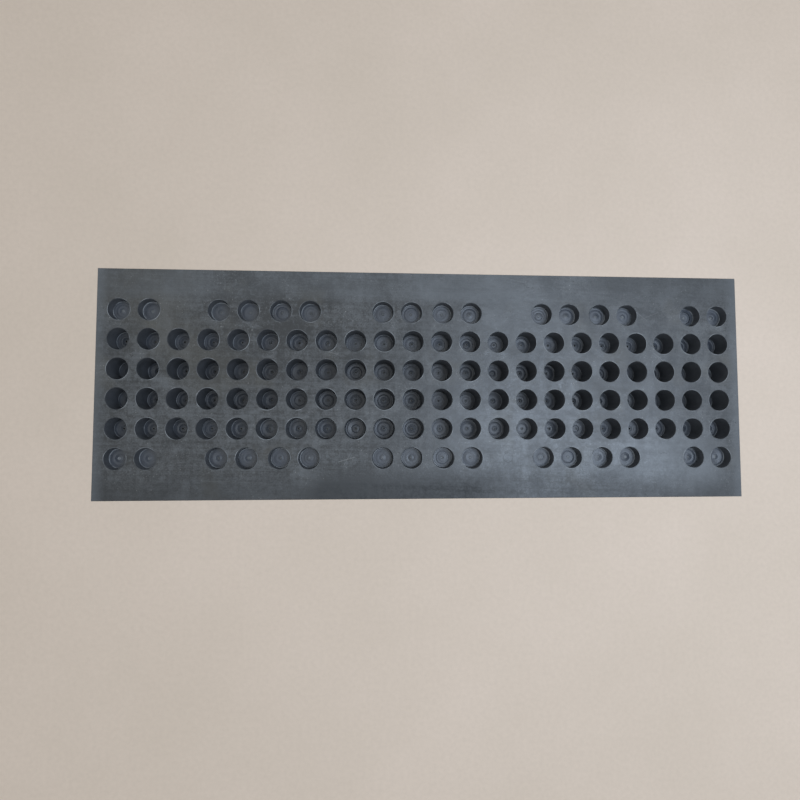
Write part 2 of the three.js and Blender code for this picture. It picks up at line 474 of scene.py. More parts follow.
def mark_places():
    """Where the bolt holes' closed ends show faintly on the road face."""
    return [(block_centre(k), side * BOLT_Y) for k in range(BLOCKS) for side in SIDES]


POCKET_SIDES = 32
MARK_SIDES = 32
MARK_FOOT = 10
MARK_CAP = -0.03
POCKET_SEED = 11
DOME = 0.35  # how far a pocket's floor rises towards its middle


def pocket_profile(depth, dice, stepped):
    """Radii, heights and slots down a pocket, and the height at its centre.

    They are a thin rim, a drafted wall, a flash bead, a turned floor, and a nub with a vent.
    """
    rise = dice.uniform(0.08, 0.28)
    phase, lobes = dice.uniform(0, 2 * math.pi), dice.choice((1, 2, 3))

    def rim(share):
        return lambda turn: -rise * share * (0.6 + 0.4 * math.sin(2 * math.pi * lobes * turn + phase))

    shallow = depth == SHALLOW
    tall, wide = (0.95, 0.75) if shallow else (0.6, 0.4)
    profile = [
        (16.9, rim(1.0), RIM),
        (MOUTH + 0.15, rim(0.3), RIM),
        (MOUTH - 0.1, 0.7, WALL),
        (FLOOR, depth - 0.9, WALL),
        (FLOOR - 0.35, depth - 0.1, POCKET),
        (FLOOR - 0.55, depth - tall, FLASH),
        (FLOOR - 0.55 - wide, depth - tall, FLASH),
        (FLOOR - 0.95 - wide, depth - 0.1, FLASH),
    ]
    if stepped:
        profile += [(10.2, depth - 0.3, POCKET), (9.9, depth - 0.5, FLASH), (9.4, depth + 1.3, POCKET)]
        depth += 1.5
        turned = (5.8,)
    else:
        turned = (dice.uniform(9.5, 12.5), dice.uniform(4.5, 7.5))
    for radius in turned:
        z = depth - DOME * (1 - (radius / FLOOR) ** 2)
        cut = dice.choice((-0.05, 0.04, 0.06, 0.1))
        profile += [(radius + 0.22, z, POCKET), (radius, z + cut, POCKET), (radius - 0.22, z, POCKET)]
    top = depth - DOME
    nub = dice.choice((-0.35, -0.25, -0.15))
    vent = dice.choice((0.8, 3.0, 3.0, 3.4)) * (0.1 if shallow else 1)
    profile += [(2.4, top, POCKET), (2.0, top + nub, NUB), (1.45, top + nub, NUB)]
    # In the deeper pockets the vent's hole takes the near-black vent rubber, a painted shade
    profile.append((1.3, top + nub + vent, NUB if shallow else VENT))
    return profile, top + nub + vent


MARK_PROFILE = [(7.7, 0.0, FACE), (7.45, 0.06, FACE), (7.2, 0.0, FACE), (1.4, MARK_CAP, FACE)]


def add_underside(bm, layer):
    """The flat road face between its pockets, the pockets, and the marks of the bolt holes."""
    reach_x, reach_y = HALF_LENGTH - FOOT_CHAMFER, HALF_WIDTH - FOOT_CHAMFER
    outline = [(-reach_x, -reach_y), (reach_x, -reach_y), (reach_x, reach_y), (-reach_x, reach_y)]
    hollows = [(x, y, RIM_FOOT, POCKET_SIDES, depth) for x, y, depth in pocket_places()]
    hollows += [(x, y, MARK_FOOT, MARK_SIDES, None) for x, y in mark_places()]
    loops = [outline] + [circle(x, y, r, n) for x, y, r, n, _ in hollows]
    keep = lambda px, py: not any(math.hypot(px - x, py - y) < r for x, y, r, _, _ in hollows)
    plan = triangulate(loops, [], keep)
    verts = lay(bm, plan, 0, lambda x, y: 0.0, FACE, up=False)
    dice = random.Random(POCKET_SEED)
    stepped = (pocket_places()[-2][0], -BOLT_Y)
    for number, (x, y, radius, _, depth) in enumerate(hollows):
        test = lambda px, py: near(math.hypot(px - x, py - y), radius)
        loop = in_turn(verts, plan[0], test, (x, y))
        if depth is None:
            profile, cap = MARK_PROFILE, MARK_CAP
        else:
            profile, cap = pocket_profile(depth, dice, (x, y) == stepped)
        rings, slots = [p[:2] for p in profile], [p[2] for p in profile]
        sink(bm, loop, (x, y), rings, slots, cap, (layer, number))
    return [chain(verts, plan, 1, s * reach_y) for s in SIDES]


# ------------------------------------------------------------------ the black body

def recess_floor(bm, loop, centre_x, side, slot):
    """Walls square to the slope from a loop down to a flat floor."""
    normal = (side * math.sin(SLOPE), math.cos(SLOPE))
    foot_y, foot_z = side * REFLECTOR_Y, arch_height(REFLECTOR_Y)
    lower = []
    for v in loop:
        y, z = v.co.y / MM, v.co.z / MM
        above = (y - foot_y) * normal[0] + (z - foot_z) * normal[1] + REFLECTOR_SUNK
        lower.append(new_vert(bm, v.co.x / MM, y - above * normal[0], z - above * normal[1]))
    band(bm, loop, lower, slot)
    bm.faces.new(lower).material_index = slot


BOLT_PROFILE = [
    (BOLT_HEAD, BOLT_SEAT_Z + 1.0),
    (BOLT_HEAD - 0.4, BOLT_SEAT_Z + 0.2),
    (BOLT_HEAD - 1.2, BOLT_SEAT_Z),
    (BOLT_SHANK + 0.8, BOLT_SEAT_Z),
    (BOLT_SHANK, BOLT_SEAT_Z - 0.8),
    (BOLT_SHANK, BOLT_MEMBRANE + 0.6),
    (BOLT_SHANK - 0.8, BOLT_MEMBRANE),
]


def make_body(treaded, plain, materials):
    """The black moulding: crown, bolt holes, reflectors' recesses, road face, pockets and sides."""
    bm = bmesh.new()
    layer = bm.verts.layers.float_vector.new("turned")
    seat_depth = SKIN + GAP
    ends = []
    for block in range(BLOCKS):
        centre_x = block_centre(block)
        if is_yellow(block):
            plan, depth, slot = plain, seat_depth, CUT
            height = lambda x, y: arch_height(y, seat_depth)
        else:
            plan, depth, slot = treaded, 0.0, CROWN
            height = lambda x, y: arch_height(y) - tread_depth(x, y)
        verts = lay(bm, plan, centre_x, height, slot)
        for side in SIDES:
            slots, centre = [slot] * len(BOLT_PROFILE), (centre_x, side * BOLT_Y)
            sink(bm, bolt_loop(verts, plan, side), centre, BOLT_PROFILE, slots, BOLT_MEMBRANE)
            recess_floor(bm, recess_edge(verts, plan, side, depth), centre_x, side, slot)
        ends.append([chain(verts, plan, 0, s * BLOCK / 2) for s in SIDES])

    low_side, high_side = add_underside(bm, layer)
    foot = {
        (sx, sy): new_vert(bm, sx * HALF_LENGTH, sy * HALF_WIDTH, FOOT_CHAMFER)
        for sx in SIDES
        for sy in SIDES
    }
    corners = ((-1, -1), (1, -1), (1, 1), (-1, 1))
    face_corner = dict(zip(corners, (low_side[0], low_side[-1], high_side[-1], high_side[0])))
    for a, b in zip(corners, corners[1:] + corners[:1]):
        bm.faces.new((foot[a], foot[b], face_corner[b], face_corner[a])).material_index = FACE

    # Upright faces: both ends, the steps between blocks, and both long edges.
    left, right = ends[0][0], ends[-1][1]
    bm.faces.new(left + [foot[(-1, 1)], foot[(-1, -1)]]).material_index = CUT
    bm.faces.new(right + [foot[(1, 1)], foot[(1, -1)]]).material_index = CUT
    for one, other in zip(ends, ends[1:]):
        bm.faces.new(one[1] + other[0][::-1]).material_index = CUT
    for side, at in ((-1, 0), (1, -1)):
        top = [v for start, end in ends for v in (start[at], end[at])]
        bm.faces.new(top + [foot[(1, side)], foot[(-1, side)]]).material_index = CUT
    return finish_mesh(bm, "rubber_body_moulding", materials, flat_slot=FACE)


def make_skin(block, number, treaded, under, material):
    """A yellow skin: treaded face, plain back, and walls round its edge and its openings."""
    low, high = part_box(f"yellow_skin_{number}")
    centre_x = (low.x + high.x) / 2 / MM
    squeeze = (high.x - low.x) / MM / BLOCK
    bm = bmesh.new()
    top = lay(bm, treaded, centre_x, lambda x, y: arch_height(y) - tread_depth(x, y), 0, True, squeeze)
    back = lay(bm, under, centre_x, lambda x, y: arch_height(y, SKIN), 0, False, squeeze)
    for side in SIDES:
        band(bm, bolt_loop(top, treaded, side), bolt_loop(back, under, side), 0)
        band(bm, recess_edge(top, treaded, side, 0.0), recess_edge(back, under, side, SKIN), 0)
    for s in SIDES:
        for axis, value in ((0, s * BLOCK / 2), (1, s * HALF_WIDTH)):
            bm.faces.new(chain(top, treaded, axis, value) + chain(back, under, axis, value)[::-1])
    return finish_mesh(bm, f"yellow_skin_{number}_moulding", [material])


# ------------------------------------------------------------------ reflectors

CELL = 1.9  # pitch of the lens's prisms
PRISM = 0.55
LENS_RIM = 0.45
SAME_CORNER = 0.01
HOUSING_ROUND = 0.5
FOLD = 0.1  # radians: edges of the housing that turn more than this are rounded
WELD = 0.00001  # metres: vertices of a CAD node this close together are one


def flat_copy(node):
    """The CAD node's solid with its triangles joined into the flat faces that they lie in."""
    bm = bmesh.new()
    bm.from_mesh(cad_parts[node].data)
    bmesh.ops.remove_doubles(bm, verts=bm.verts, dist=WELD)
    bmesh.ops.dissolve_limit(bm, angle_limit=math.radians(1), verts=bm.verts, edges=bm.edges)
    return bm


def make_housing(name, material):
    """The reflector's moulded body, with rounded edges."""
    bm = flat_copy(name)
    edges = [e for e in bm.edges if len(e.link_faces) == 2 and e.calc_face_angle(0) > FOLD]
    width = HOUSING_ROUND * MM
    bmesh.ops.bevel(bm, geom=edges, offset=width, segments=2, affect="EDGES", clamp_overlap=True)
    return finish_mesh(bm, name + "_moulding", [material], 40)


def make_lens(name, material):
    """An amber lens whose face is a grid of small prisms."""
    bm = flat_copy(name)
    middle = sum((v.co for v in bm.verts), Vector()) / len(bm.verts)
    outward = Vector((0, math.copysign(1, middle.y), 1))
    face = max(bm.faces, key=lambda f: f.normal.dot(outward) * f.calc_area())
    normal = face.normal.copy()
    bmesh.ops.inset_region(bm, faces=[face], thickness=LENS_RIM * MM, depth=0)
    corners = [loop.vert.co.copy() for loop in face.loops]
    if (corners[1] - corners[0]).length < (corners[2] - corners[1]).length:
        corners = corners[1:] + corners[:1]
    rim = list(face.verts)
    bm.faces.remove(face)
    long_side, short_side = corners[1] - corners[0], corners[3] - corners[0]
    nx, ny = round(long_side.length / (CELL * MM)), round(short_side.length / (CELL * MM))
    grid = [
        [bm.verts.new(corners[0] + long_side * (i / nx) + short_side * (j / ny)) for j in range(ny + 1)]
        for i in range(nx + 1)
    ]
    for i in range(nx):
        for j in range(ny):
            ring = (grid[i][j], grid[i + 1][j], grid[i + 1][j + 1], grid[i][j + 1])
            peak = bm.verts.new(sum((v.co for v in ring), Vector()) / 4 + normal * PRISM * MM)
            for a, b in zip(ring, ring[1:] + ring[:1]):
                bm.faces.new((a, b, peak))
    # The prisms' border meets the lens's rim in four corners, so its sides are closed by fans.
    bmesh.ops.remove_doubles(bm, verts=rim + [v for row in grid for v in row], dist=SAME_CORNER * MM)
    open_edges = [e for e in bm.edges if len(e.link_faces) == 1]
    bmesh.ops.holes_fill(bm, edges=open_edges, sides=0)
    return finish_mesh(bm, name + "_prisms", [material], 10)


# ------------------------------------------------------------------ materials

class Look:
    """A material's node tree, built up by short calls. Lengths in it are metres."""

    def __init__(self, name):
        self.material = bpy.data.materials.new(name)
        self.material.use_nodes = True
        self.nodes = self.material.node_tree.nodes
        self.links = self.material.node_tree.links
        self.shader = self.nodes["Principled BSDF"]
        self.here = self.nodes.new("ShaderNodeTexCoord").outputs["Object"]

    def put(self, socket, value):
        if isinstance(value, bpy.types.NodeSocket):
            self.links.new(value, socket)
        else:
            socket.default_value = value

    def math(self, operation, *values, clamp=False):
        node = self.nodes.new("ShaderNodeMath")
        node.operation = operation
        node.use_clamp = clamp
        for socket, value in zip(node.inputs, values):
            self.put(socket, value)
        return node.outputs[0]

    def plus(self, one, other, clamp=False):
        return self.math("ADD", one, other, clamp=clamp)

    def times(self, one, other):
        return self.math("MULTIPLY", one, other)

    def most(self, one, other):
        return self.math("MAXIMUM", one, other)

    def vector(self, operation, *values, out=0):
        node = self.nodes.new("ShaderNodeVectorMath")
        node.operation = operation
        for socket, value in zip(node.inputs, values):
            self.put(socket, value)
        return node.outputs[out]

    def turned(self, degrees, stretch):
        """Object coordinates turned about Z, then stretched."""
        node = self.nodes.new("ShaderNodeMapping")
        node.vector_type = "TEXTURE"
        node.inputs["Rotation"].default_value = (0, 0, math.radians(degrees))
        node.inputs["Scale"].default_value = [1 / s for s in stretch]
        self.links.new(self.here, node.inputs["Vector"])
        return node.outputs[0]

    def axis(self, number):
        """One of the object coordinates: 0 along the bump, 1 across it, 2 up."""
        node = self.nodes.new("ShaderNodeSeparateXYZ")
        self.links.new(self.here, node.inputs[0])
        return node.outputs[number]

    def noise(self, scale, detail=2.0, rough=0.5, at=None, distortion=0.0):
        node = self.nodes.new("ShaderNodeTexNoise")
        self.put(node.inputs["Vector"], at or self.here)
        self.put(node.inputs["Scale"], scale)
        self.put(node.inputs["Detail"], detail)
        self.put(node.inputs["Roughness"], rough)
        self.put(node.inputs["Distortion"], distortion)
        return node.outputs["Fac"]

    def fit(self, value, low, high, to_low=0.0, to_high=1.0, smooth=False):
        node = self.nodes.new("ShaderNodeMapRange")
        node.interpolation_type = "SMOOTHSTEP" if smooth else "LINEAR"
        for socket, number in zip(node.inputs[:5], (value, low, high, to_low, to_high)):
            self.put(socket, number)
        return node.outputs[0]

    def spread(self, noise, to_low=0.0, to_high=1.0):
        """A noise's usual range, 0.3 to 0.7, stretched to another one."""
        return self.fit(noise, 0.3, 0.7, to_low, to_high)

    def mix(self, share, one, other):
        node = self.nodes.new("ShaderNodeMix")
        node.data_type = "RGBA"
        self.put(node.inputs["Factor"], share)
        for socket, value in ((node.inputs[6], one), (node.inputs[7], other)):
            self.put(socket, (*value, 1) if isinstance(value, tuple) else value)
        return node.outputs[2]

    def bump(self, height, depth, strength=1.0, under=None):
        node = self.nodes.new("ShaderNodeBump")
        self.put(node.inputs["Height"], height)
        self.put(node.inputs["Distance"], depth)
        self.put(node.inputs["Strength"], strength)
        if under:
            self.links.new(under, node.inputs["Normal"])
        return node.outputs[0]

    def scratch_lines(self, degrees, spacing, length, share):
        """Thin broken lines that run at an angle to X. share is how much of them shows."""
        at = self.turned(degrees, (1 / length, 1 / spacing, 1 / length))
        lines = self.noise(1.0, 1.0, 0.4, at=at)
        return self.fit(lines, 0.76 - share, 0.80 - share)

    def near_line(self, start, end, half_width):
        """1 on the straight line between two points, falling to 0 half_width away."""
        start, end = Vector((*start, 0)) * MM, Vector((*end, 0)) * MM
        flat = self.vector("MULTIPLY", self.here, (1, 1, 0))
        off = self.vector("SUBTRACT", flat, start)
        along = self.vector("DOT_PRODUCT", off, (end - start) / (end - start).length_squared, out=1)
        along = self.math("MAXIMUM", self.math("MINIMUM", along, 1.0), 0.0)
        node = self.nodes.new("ShaderNodeVectorMath")
        node.operation = "SCALE"
        self.put(node.inputs[0], end - start)
        self.put(node.inputs["Scale"], along)
        away = self.vector("LENGTH", self.vector("SUBTRACT", off, node.outputs[0]), out=1)
        return self.fit(away, half_width * MM, 0.3 * half_width * MM)

    def finish(self, colour, roughness, normal=None):
        self.put(self.shader.inputs["Base Color"], colour)
        self.put(self.shader.inputs["Roughness"], roughness)
        if normal:
            self.links.new(normal, self.shader.inputs["Normal"])
        return self.material


DUST = (0.30, 0.30, 0.29)
FACE_DARK = (0.006, 0.008, 0.010)
FACE_LIGHT = (0.060, 0.064, 0.068)
# Pale chalky dust; also the colour of the painted sheen and of the painted reflection at the ends
CHALK_AND_SHEEN = (0.085, 0.094, 0.104)
STAIN = (0.046, 0.042, 0.031)

# Broad soft patches of the road face: start, end, half width, strength, colour. The brown ones are stains,
# the pale ones painted sheen, the dark ones along the long edges painted shade
FACE_STAINS_SHEEN_AND_SHADE = (
    ((-150, 172), (70, 172), 48, 0.9, FACE_DARK),
    ((115, -118), (180, -112), 60, 0.45, CHALK_AND_SHEEN),
    ((330, 105), (430, 118), 58, 0.7, CHALK_AND_SHEEN),
    ((-410, -95), (-330, -20), 60, 0.4, STAIN),
    ((-470, -140), (-380, -155), 50, 0.3, STAIN),
    ((60, 60), (230, 100), 60, 0.35, CHALK_AND_SHEEN),
    ((300, -172), (500, -160), 50, 0.35, FACE_DARK),
)

# Marks that handling left on the road face: start, end, half width, strength
HANDLING_MARKS = (
    ((362, -52), (385, -34), 0.35, 0.35),
    ((330, -122), (352, -104), 0.3, 0.3),
    ((338, -104), (371, -118), 0.3, 0.25),
    ((-136, 118), (-112, 111), 0.5, 0.4),
    ((-128, 124), (-119, 106), 0.3, 0.35),
    ((118, -171), (166, -160), 0.3, 0.3),
    ((-340, 146), (-250, 149), 0.4, 0.12),
    ((-152, -50), (-138, -46), 0.4, 0.4),
)


def smoky(look):
    """Two noises, and from them and finer ones the road face's tone: 0 dark to 1 pale."""
    cloud = look.noise(6.0, 6.0, 0.62, distortion=0.6)
    patch = look.noise(24.0, 5.0, 0.65, distortion=0.4)
    wiped_along = look.noise(1.0, 5.0, 0.65, at=look.turned(2, (5, 60, 8)))
    wiped_across = look.noise(1.0, 5.0, 0.65, at=look.turned(88, (6, 80, 8)))
    brushed = look.noise(1.0, 4.0, 0.7, at=look.turned(1.5, (4, 240, 8)))
    layers = (
        (patch, -0.2, 0.36),
        (wiped_along, -0.2, 0.3),
        (wiped_across, -0.2, 0.28),
        (brushed, -0.3, 0.3),
        (look.noise(130.0, 5.0, 0.75), -0.55, 0.55),
        (look.noise(420.0, 3.0, 0.7), -0.45, 0.45),
    )
    tone = look.spread(cloud, -0.1, 0.5)
    for noise, darker, paler in layers:
        tone = look.plus(tone, look.spread(noise, darker, paler))
    return cloud, patch, look.plus(tone, 0.0, clamp=True)


def face_marks(look):
    """Hair scratches in sparse patches, and the marks of handling."""
    hairs = look.scratch_lines(2, 0.0012, 0.30, 0.0)
    hairs = look.most(hairs, look.scratch_lines(-31, 0.0014, 0.16, -0.02))
    hairs = look.most(hairs, look.scratch_lines(63, 0.0014, 0.12, -0.03))
    sparse = look.fit(look.noise(9.0, 2.0, at=look.turned(15, (1, 1, 1))), 0.5, 0.62)
    marks = look.times(look.times(hairs, sparse), 0.4)
    for start, end, half_width, strength in HANDLING_MARKS:
        line = look.near_line(start, end, half_width)
        marks = look.most(marks, look.times(line, strength))
    return marks


def face_dust(look, cloud, patch):
    """Coarse specks where patch is pale, and fine grit where cloud is."""
    specks = look.fit(look.noise(430.0, 1.0), 0.68, 0.73)
    grit = look.fit(look.noise(1500.0, 0.0), 0.70, 0.8, 0, 0.4)
    specks = look.times(specks, look.fit(patch, 0.42, 0.58))
    return look.most(specks, look.times(grit, look.fit(cloud, 0.35, 0.65)))


def face_stains_sheen_and_shade(look, colour, patch):
    """The colour under the broad stains, painted sheen and painted shade, and how dull the rubber is there.
    """
    # Darker and rougher towards the +Y long edge: a painted shade where the sheen falls off
    dull_and_shaded = look.fit(look.axis(1), 0.118, 0.17, 0, 0.45, True)
    colour = look.mix(dull_and_shaded, colour, FACE_DARK)
    uneven = look.fit(patch, 0.3, 0.55, 0.6, 1)
    for start, end, half_width, strength, tint in FACE_STAINS_SHEEN_AND_SHADE:
        # Each patch, by its colour, is a stain, painted sheen or painted shade
        soft_patch = look.times(look.near_line(start, end, half_width), uneven)
        soft_patch = look.times(soft_patch, strength)
        colour = look.mix(soft_patch, colour, tint)
        # The dark patches, painted shade, also make the rubber duller
        if tint == FACE_DARK:
            dull_and_shaded = look.most(dull_and_shaded, soft_patch)
    return colour, dull_and_shaded


def road_face_rubber():
    """Satin moulded rubber: smoky blotches, wiping streaks, hair scratches, dust and stains, with painted
    sheen in broad pale patches and at the ends, and painted shade along the long edges.
    """
    look = Look("road_face_rubber")
    look.shader.inputs["Specular IOR Level"].default_value = 0.62
    cloud, patch, tone = smoky(look)
    colour = look.mix(tone, FACE_DARK, FACE_LIGHT)
    chalk = look.times(look.fit(patch, 0.52, 0.72), look.fit(cloud, 0.42, 0.6, 0, 0.45))
    colour = look.mix(chalk, colour, CHALK_AND_SHEEN)
    brown = look.fit(look.noise(11.0, 3.0, at=look.turned(40, (1, 1, 1))), 0.58, 0.7, 0, 0.45)
    colour = look.mix(brown, colour, STAIN)
    marks = face_marks(look)
    fleck = look.fit(look.noise(95.0, 6.0, 0.78, distortion=0.8), 0.54, 0.72, 0, 0.55)
    colour = look.mix(fleck, colour, CHALK_AND_SHEEN)
    dust = look.most(marks, look.times(face_dust(look, cloud, patch), 0.5))
    colour = look.mix(dust, colour, DUST)
    colour, dull_and_shaded = face_stains_sheen_and_shade(look, colour, patch)

    # A pale film along one long edge
    film = look.fit(look.axis(1), -0.122, -0.142, smooth=True)
    film = look.times(film, look.fit(cloud, 0.3, 0.6, 0.1, 0.55))
    film = look.times(film, look.fit(look.axis(0), 0.15, 0.3, 1, 0.3, True))
    colour = look.mix(film, colour, CHALK_AND_SHEEN)
    # At both ends a pale band, a painted reflection
    end = look.math("ABSOLUTE", look.axis(0))
    colour = look.mix(look.fit(end, 0.478, 0.499, 0, 0.5, True), colour, CHALK_AND_SHEEN)

    roughness = look.plus(look.fit(tone, 0.0, 1.0, 0.33, 0.55), look.spread(patch, 0.09, -0.09))
    roughness = look.plus(roughness, look.times(dull_and_shaded, 0.2))
    normal = look.bump(look.noise(1.0, 3.0, at=look.turned(3, (7, 12, 7))), 0.0014, 0.3)
    waves = look.noise(1.0, 4.0, 0.6, at=look.turned(3, (70, 100, 70)))
    normal = look.bump(waves, 0.0005, 0.6, normal)
    normal = look.bump(look.noise(1500.0, 3.0, 0.6), 0.00008, 0.5, normal)
    normal = look.bump(look.math("SUBTRACT", 1.0, marks), 0.00010, 0.6, normal)
    return look.finish(colour, roughness, normal)


def rim_rubber(name, shows, full, black=(0.030, 0.034, 0.038), pale=(0.21, 0.222, 0.235)):
    """Rubber that is pale in places, where its noise lies between shows and full."""
    look = Look(name)
    pale_share = look.fit(look.noise(42.0, 3.0), shows, full)
    colour = look.mix(pale_share, black, pale)
    normal = look.bump(look.noise(1800.0, 2.0), 0.00008, 0.5)
    return look.finish(colour, look.fit(pale_share, 0, 1, 0.36, 0.5), normal)


def wall_rubber():
    """The pockets' walls: smooth rubber with fine tool rings and mould powder."""
    look = Look("wall_rubber")
    patch = look.noise(38.0, 4.0, 0.6)
    colour = look.mix(look.spread(patch), (0.036, 0.039, 0.043), (0.070, 0.074, 0.082))
    powder = look.fit(look.noise(480.0, 2.0), 0.66, 0.78, 0, 0.45)
    colour = look.mix(powder, colour, (0.10, 0.105, 0.11))
    rings = look.noise(1.0, 2.0, at=look.turned(0, (8, 8, 520)))
    normal = look.bump(rings, 0.0006, 0.6)
    normal = look.bump(look.noise(700.0, 3.0), 0.0001, 0.5, normal)
    return look.finish(colour, look.spread(patch, 0.34, 0.5), normal)


def floor_rubber():
    """The pockets' floors: rings that the mould's lathe left, each pocket's its own, and powder."""
    look = Look("floor_rubber")
    look.shader.inputs["Specular IOR Level"].default_value = 0.62
    turned = look.nodes.new("ShaderNodeAttribute")
    turned.attribute_name = "turned"
    at = turned.outputs["Vector"]
    patch = look.noise(38.0, 4.0, 0.6)
    rings = look.noise(1.0, 3.0, 0.7, at=look.vector("MULTIPLY", at, (0.9, 7.3, 0)))
    colour = look.mix(look.spread(patch), (0.020, 0.025, 0.034), (0.046, 0.054, 0.070))
    colour = look.mix(look.fit(rings, 0.5, 0.68, 0, 0.16), colour, (0.12, 0.125, 0.13))
    powder = look.fit(look.noise(480.0, 2.0), 0.66, 0.78, 0, 0.45)
    colour = look.mix(powder, colour, (0.13, 0.135, 0.14))
    normal = look.bump(rings, 0.0005, 0.3)
    normal = look.bump(look.noise(260.0, 4.0, 0.65), 0.0003, 0.6, normal)
    return look.finish(colour, look.spread(patch, 0.34, 0.5), normal)


def depth_below_crown(look):
    """0 on the arch, 1 at the bottom of the tread."""
    from_centre = look.vector("SUBTRACT", look.here, (0, 0, ARCH_CENTRE_Z * MM))
    radius = look.vector("LENGTH", look.vector("MULTIPLY", from_centre, (0, 1, 1)), out=1)
    return look.fit(radius, ARCH_RADIUS * MM, (ARCH_RADIUS - GROOVE_DEPTH - FACET_FALL) * MM)


def crown_rubber(name, dark, light, film_and_groove_colour, worn, rough):
    """Moulded tread rubber, tinted by depth at its grooves' bottoms, with scuffs on its lozenges, a film
    and pale dust.
    """
    look = Look(name)
    sunk = depth_below_crown(look)
    cloud = look.noise(10.0, 5.0, 0.62, distortion=0.3)
    patch = look.noise(55.0, 4.0, 0.6)
    colour = look.mix(look.spread(cloud), dark, light)
    scuffs = look.most(look.scratch_lines(88, 0.003, 0.12, 0.02), look.scratch_lines(74, 0.0022, 0.08, 0.0))
    scuffs = look.times(scuffs, look.fit(look.noise(8.0, 3.0, at=look.turned(20, (1, 1, 1))), 0.45, 0.65))
    scuffs = look.times(scuffs, look.fit(sunk, 0.45, 0.1, 0, 0.55))
    colour = look.mix(scuffs, colour, worn)
    # The grooves' bottoms take the film colour by depth: paler on the black, darker on the yellow
    deep_share = look.times(look.fit(sunk, 0.62, 0.95), look.fit(patch, 0.3, 0.6, 0.45, 0.9))
    colour = look.mix(deep_share, colour, film_and_groove_colour)
    film = look.times(look.fit(cloud, 0.45, 0.75, 0, 0.35), look.fit(patch, 0.4, 0.7))
    colour = look.mix(film, colour, film_and_groove_colour)
    speck = look.fit(look.noise(700.0, 1.0), 0.72, 0.76, 0, 0.5)
    colour = look.mix(speck, colour, DUST)
    roughness = look.plus(look.spread(cloud, *rough), look.fit(deep_share, 0, 1, 0, 0.15), clamp=True)
    normal = look.bump(look.noise(420.0, 4.0, 0.65), 0.0003, 0.5)
    normal = look.bump(look.noise(2200.0, 2.0), 0.0001, 0.4, normal)
    normal = look.bump(patch, 0.001, 0.25, normal)
    return look.finish(colour, roughness, normal)


def housing_plastic():
    """Pale grey plastic with grime in patches."""
    look = Look("housing_plastic")
    patch = look.noise(120.0, 4.0)
    colour = look.mix(look.fit(patch, 0.35, 0.7), (0.62, 0.62, 0.59), (0.48, 0.48, 0.45))
    grime = look.fit(look.noise(40.0, 4.0), 0.5, 0.75, 0, 0.55)
    colour = look.mix(grime, colour, (0.16, 0.155, 0.145))
    normal = look.bump(look.noise(2600.0, 2.0), 0.00006, 0.5)
    return look.finish(colour, look.spread(patch, 0.34, 0.5), normal)


def lens_plastic():
    """Amber reflex lens: deep colour with a gloss, mottled by its prisms and a little dust."""
    look = Look("lens_plastic")
    look.shader.inputs["Coat Weight"].default_value = 0.6
    look.shader.inputs["Coat Roughness"].default_value = 0.08
    patch = look.noise(260.0, 3.0)
    colour = look.mix(look.spread(patch), (0.62, 0.17, 0.008), (0.9, 0.36, 0.03))
    film = look.fit(look.noise(70.0, 4.0), 0.55, 0.75, 0, 0.35)
    colour = look.mix(film, colour, (0.5, 0.42, 0.3))
    normal = look.bump(look.noise(1500.0, 1.0), 0.00004, 0.3)
    return look.finish(colour, look.fit(film, 0, 0.35, 0.12, 0.35), normal)


# ------------------------------------------------------------------ pieces

def carry(piece, slot, *nodes):
    """Puts a piece on the only body in place of CAD nodes; slot is not used."""
    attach(piece, "root")
    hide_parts(*nodes)


BLACK = crown_rubber(
    "crown_rubber",
    dark=(0.020, 0.022, 0.024),
    light=(0.050, 0.053, 0.056),
    film_and_groove_colour=(0.125, 0.12, 0.11),
    worn=(0.11, 0.11, 0.11),
    rough=(0.42, 0.58),
)
YELLOW = crown_rubber(
    "yellow_rubber",
    dark=(0.86, 0.45, 0.018),
    light=(0.94, 0.58, 0.055),
    film_and_groove_colour=(0.26, 0.13, 0.020),
    worn=(0.26, 0.16, 0.04),
    rough=(0.40, 0.54),
)
CUT_RUBBER = crown_rubber(
    "edge_rubber",
    dark=(0.024, 0.026, 0.028),
    light=(0.046, 0.048, 0.051),
    film_and_groove_colour=(0.1, 0.097, 0.09),
    worn=(0.1, 0.1, 0.1),
    rough=(0.5, 0.66),
)

treaded_plan = block_plan(True, 0.0)
body = make_body(
    treaded_plan,
    block_plan(False, SKIN + GAP),
    [
        road_face_rubber(),
        # Rims, flash beads and nubs: the pale is wear and a painted highlight
        rim_rubber("rim_rubber", 0.47, 0.66),
        rim_rubber("flash_rubber", 0.36, 0.58),
        wall_rubber(),
        floor_rubber(),
        rim_rubber("nub_rubber", 0.4, 0.65, pale=(0.13, 0.137, 0.145)),
        # Vents: near-black in both colours, a painted shade in the hole
        rim_rubber("vent_shade_rubber", 0.4, 0.7, (0.003, 0.003, 0.004), (0.010, 0.011, 0.012)),
        BLACK,
        CUT_RUBBER,
    ],
)
carry(body, "black_rubber", "rubber_body")

under_plan = block_plan(False, SKIN)
yellow_blocks = [block for block in range(BLOCKS) if is_yellow(block)]
for number, block in enumerate(yellow_blocks, 1):
    skin = make_skin(block, number, treaded_plan, under_plan, YELLOW)
    carry(skin, "yellow_rubber", f"yellow_skin_{number}")

HOUSING, LENS = housing_plastic(), lens_plastic()
for node in sorted(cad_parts):
    if node.startswith("reflector_housing"):
        carry(make_housing(node, HOUSING), "housing_plastic", node)
    elif node.startswith("reflector_lens"):
        carry(make_lens(node, LENS), "lens_plastic", node)


# ------------------------------------------------------------------ floor, light and camera

FLOOR_REACH = 90.0  # metres
FLOOR_TOP, FLOOR_UNDER = 0.0006, 0.0005  # heights of the floor's two faces
TUCK = 0.0005  # the cut-out's edge is hidden this far inside the rubber


